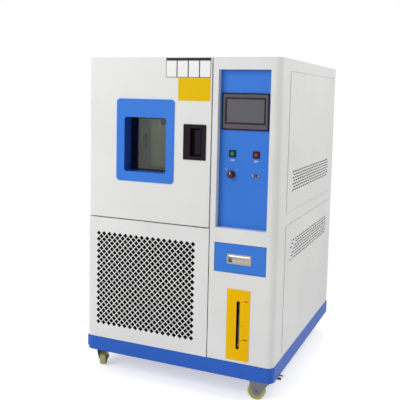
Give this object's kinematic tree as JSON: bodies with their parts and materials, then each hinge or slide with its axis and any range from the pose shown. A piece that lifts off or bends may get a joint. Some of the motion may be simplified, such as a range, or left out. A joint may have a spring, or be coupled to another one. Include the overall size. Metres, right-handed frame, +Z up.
{
  "type": "environmental test chamber",
  "caption": "Floor-standing temperature test chamber on swivel casters with a hinged windowed door, recessed controls column, utility drawer, level gauge and perforated intake.",
  "frame": {"origin": "on the floor, under the middle of the cabinet body", "axes": "+Z up, +X to the right side seen from the front, +Y to the back; the door and controls face -Y"},
  "size_m": [0.9305, 1.025, 1.435],
  "materials": {
    "panel_white": "fine-texture powder coat",
    "plinth_blue": "fine-texture powder coat",
    "trim_blue": "satin paint",
    "stainless": "brushed",
    "frame_grey": "zinc-grey paint",
    "foam": "moulded foam",
    "seal_black": "soft silicone",
    "pane": "polished",
    "handle_black": "fine-grained",
    "black_plastic": "fine-grained",
    "screen_grey": "satin",
    "screen_glass": "anti-glare",
    "green_lens": "moulded lens",
    "red_lens": "moulded lens",
    "gauge_yellow": "satin paint",
    "clear_tube": "clear tube",
    "float_red": "moulded",
    "chrome": "polished",
    "aluminium": "mill finish",
    "machine_black": "enamel",
    "caster_steel": "zinc plated",
    "tyre_cream": "cast polyurethane",
    "tank_black": "rotation moulded",
    "lever_red": "dipped vinyl",
    "port_white": "moulded"
  },
  "bodies": {
    "cabinet": {"base_frame": "plinth_blue", "inner_frame": "frame_grey", "column_shell": "panel_white", "side_access_panels": "panel_white", "left_side_panel": "panel_white", "top_cover": "panel_white", "rear_panel": "panel_white", "front_grille_panel": "panel_white", "door_frame": "stainless", "inner_liner": "stainless", "insulation": "foam", "hinge_brackets": "chrome", "control_panel": "trim_blue", "hmi_housing": "screen_grey", "hmi_screen": "screen_glass", "control_bezels": "black_plastic", "serial_port": "stainless", "drawer_housing": "stainless", "gauge_plate": "gauge_yellow", "sight_tube": "clear_tube", "water_tank": "tank_black", "shelves": "stainless", "air_baffle": "stainless", "fan_motor": "machine_black", "heater_rods": "stainless", "evaporator": "aluminium", "cable_port": "port_white", "compressor": "machine_black", "condenser": "machine_black", "electrical_panel": "frame_grey", "power_gland": "black_plastic", "drain_valve": "chrome"},
    "door": {"door_shell": "panel_white", "door_foam": "foam", "door_liner": "stainless", "door_gasket": "seal_black", "window_bezel": "trim_blue", "window_glass": "pane", "door_hinges": "chrome", "handle_housing": "handle_black"},
    "drawer": {"drawer_front": "trim_blue", "drawer_tray": "stainless", "drawer_pull": "chrome"},
    "handle_paddle": {"handle_paddle": "handle_black"},
    "latch_bolt": {"latch_bolt": "stainless"},
    "start_button": {"start_button": "green_lens"},
    "stop_button": {"stop_button": "red_lens"},
    "selector_knob": {"selector_knob": "black_plastic"},
    "level_float": {"level_float": "float_red"},
    "circulation_fan": {"circulation_fan": "aluminium"},
    "condenser_fan": {"condenser_fan": "black_plastic"},
    "drain_lever": {"drain_lever": "lever_red"},
    "caster_fork_fl": {"caster_fork_fl": "caster_steel"},
    "caster_wheel_fl": {"caster_wheel_fl": "tyre_cream"},
    "caster_fork_fr": {"caster_fork_fr": "caster_steel"},
    "caster_wheel_fr": {"caster_wheel_fr": "tyre_cream"},
    "caster_fork_rl": {"caster_fork_rl": "caster_steel"},
    "caster_wheel_rl": {"caster_wheel_rl": "tyre_cream"},
    "caster_fork_rr": {"caster_fork_rr": "caster_steel"},
    "caster_wheel_rr": {"caster_wheel_rr": "tyre_cream"}
  },
  "joints": [
    {"name": "door_swing", "type": "hinge", "parent": "cabinet", "child": "door", "pos_m": [-0.459, -0.4475, 1.079], "axis": [0, 0, -1], "range_deg": [0, 120]},
    {"name": "handle_pull", "type": "hinge", "parent": "door", "child": "handle_paddle", "pos_m": [0.103, -0.5, 1.08], "axis": [0, 0, 1], "range_deg": [0, 30], "stiffness_Nm_per_rad": 0.6},
    {"name": "latch_slide", "type": "slide", "parent": "door", "child": "latch_bolt", "axis": [-1, 0, 0], "range_m": [0, 0.012]},
    {"name": "start_press", "type": "slide", "parent": "cabinet", "child": "start_button", "axis": [0, 1, 0], "range_m": [0, 0.003], "stiffness_N_per_m": 400},
    {"name": "stop_press", "type": "slide", "parent": "cabinet", "child": "stop_button", "axis": [0, 1, 0], "range_m": [0, 0.003], "stiffness_N_per_m": 400},
    {"name": "selector_turn", "type": "hinge", "parent": "cabinet", "child": "selector_knob", "pos_m": [0.237, -0.485, 0.952], "axis": [0, 1, 0], "range_deg": [0, 90]},
    {"name": "drawer_slide", "type": "slide", "parent": "cabinet", "child": "drawer", "axis": [0, -1, 0], "range_m": [0, 0.22]},
    {"name": "float_rise", "type": "slide", "parent": "cabinet", "child": "level_float", "axis": [0, 0, 1], "range_m": [0, 0.17]},
    {"name": "circulation_fan_spin", "type": "hinge", "parent": "cabinet", "child": "circulation_fan", "pos_m": [-0.155, 0.025, 1.08], "axis": [0, 1, 0], "continuous": true},
    {"name": "condenser_fan_spin", "type": "hinge", "parent": "cabinet", "child": "condenser_fan", "pos_m": [-0.15, -0.285, 0.4], "axis": [0, 1, 0], "continuous": true},
    {"name": "drain_lever_turn", "type": "hinge", "parent": "cabinet", "child": "drain_lever", "pos_m": [0.43, -0.387, 0.073], "axis": [0, 0, 1], "range_deg": [0, 90]},
    {"name": "caster_swivel_fl", "type": "hinge", "parent": "cabinet", "child": "caster_fork_fl", "pos_m": [-0.392, -0.457, 0.096], "axis": [0, 0, 1], "continuous": true},
    {"name": "caster_roll_fl", "type": "hinge", "parent": "caster_fork_fl", "child": "caster_wheel_fl", "pos_m": [-0.40053, -0.43672, 0.0375], "axis": [-0.9219, -0.3875, 0], "continuous": true},
    {"name": "caster_swivel_fr", "type": "hinge", "parent": "cabinet", "child": "caster_fork_fr", "pos_m": [0.392, -0.457, 0.096], "axis": [0, 0, 1], "continuous": true},
    {"name": "caster_roll_fr", "type": "hinge", "parent": "caster_fork_fr", "child": "caster_wheel_fr", "pos_m": [0.37, -0.457, 0.0375], "axis": [0, -1, 0], "continuous": true},
    {"name": "caster_swivel_rl", "type": "hinge", "parent": "cabinet", "child": "caster_fork_rl", "pos_m": [-0.392, 0.457, 0.096], "axis": [0, 0, 1], "continuous": true},
    {"name": "caster_roll_rl", "type": "hinge", "parent": "caster_fork_rl", "child": "caster_wheel_rl", "pos_m": [-0.41267, 0.44948, 0.0375], "axis": [0.342, -0.9397, 0], "continuous": true},
    {"name": "caster_swivel_rr", "type": "hinge", "parent": "cabinet", "child": "caster_fork_rr", "pos_m": [0.392, 0.457, 0.096], "axis": [0, 0, 1], "continuous": true},
    {"name": "caster_roll_rr", "type": "hinge", "parent": "caster_fork_rr", "child": "caster_wheel_rr", "pos_m": [0.37295, 0.468, 0.0375], "axis": [-0.5, -0.866, 0], "continuous": true}
  ]
}
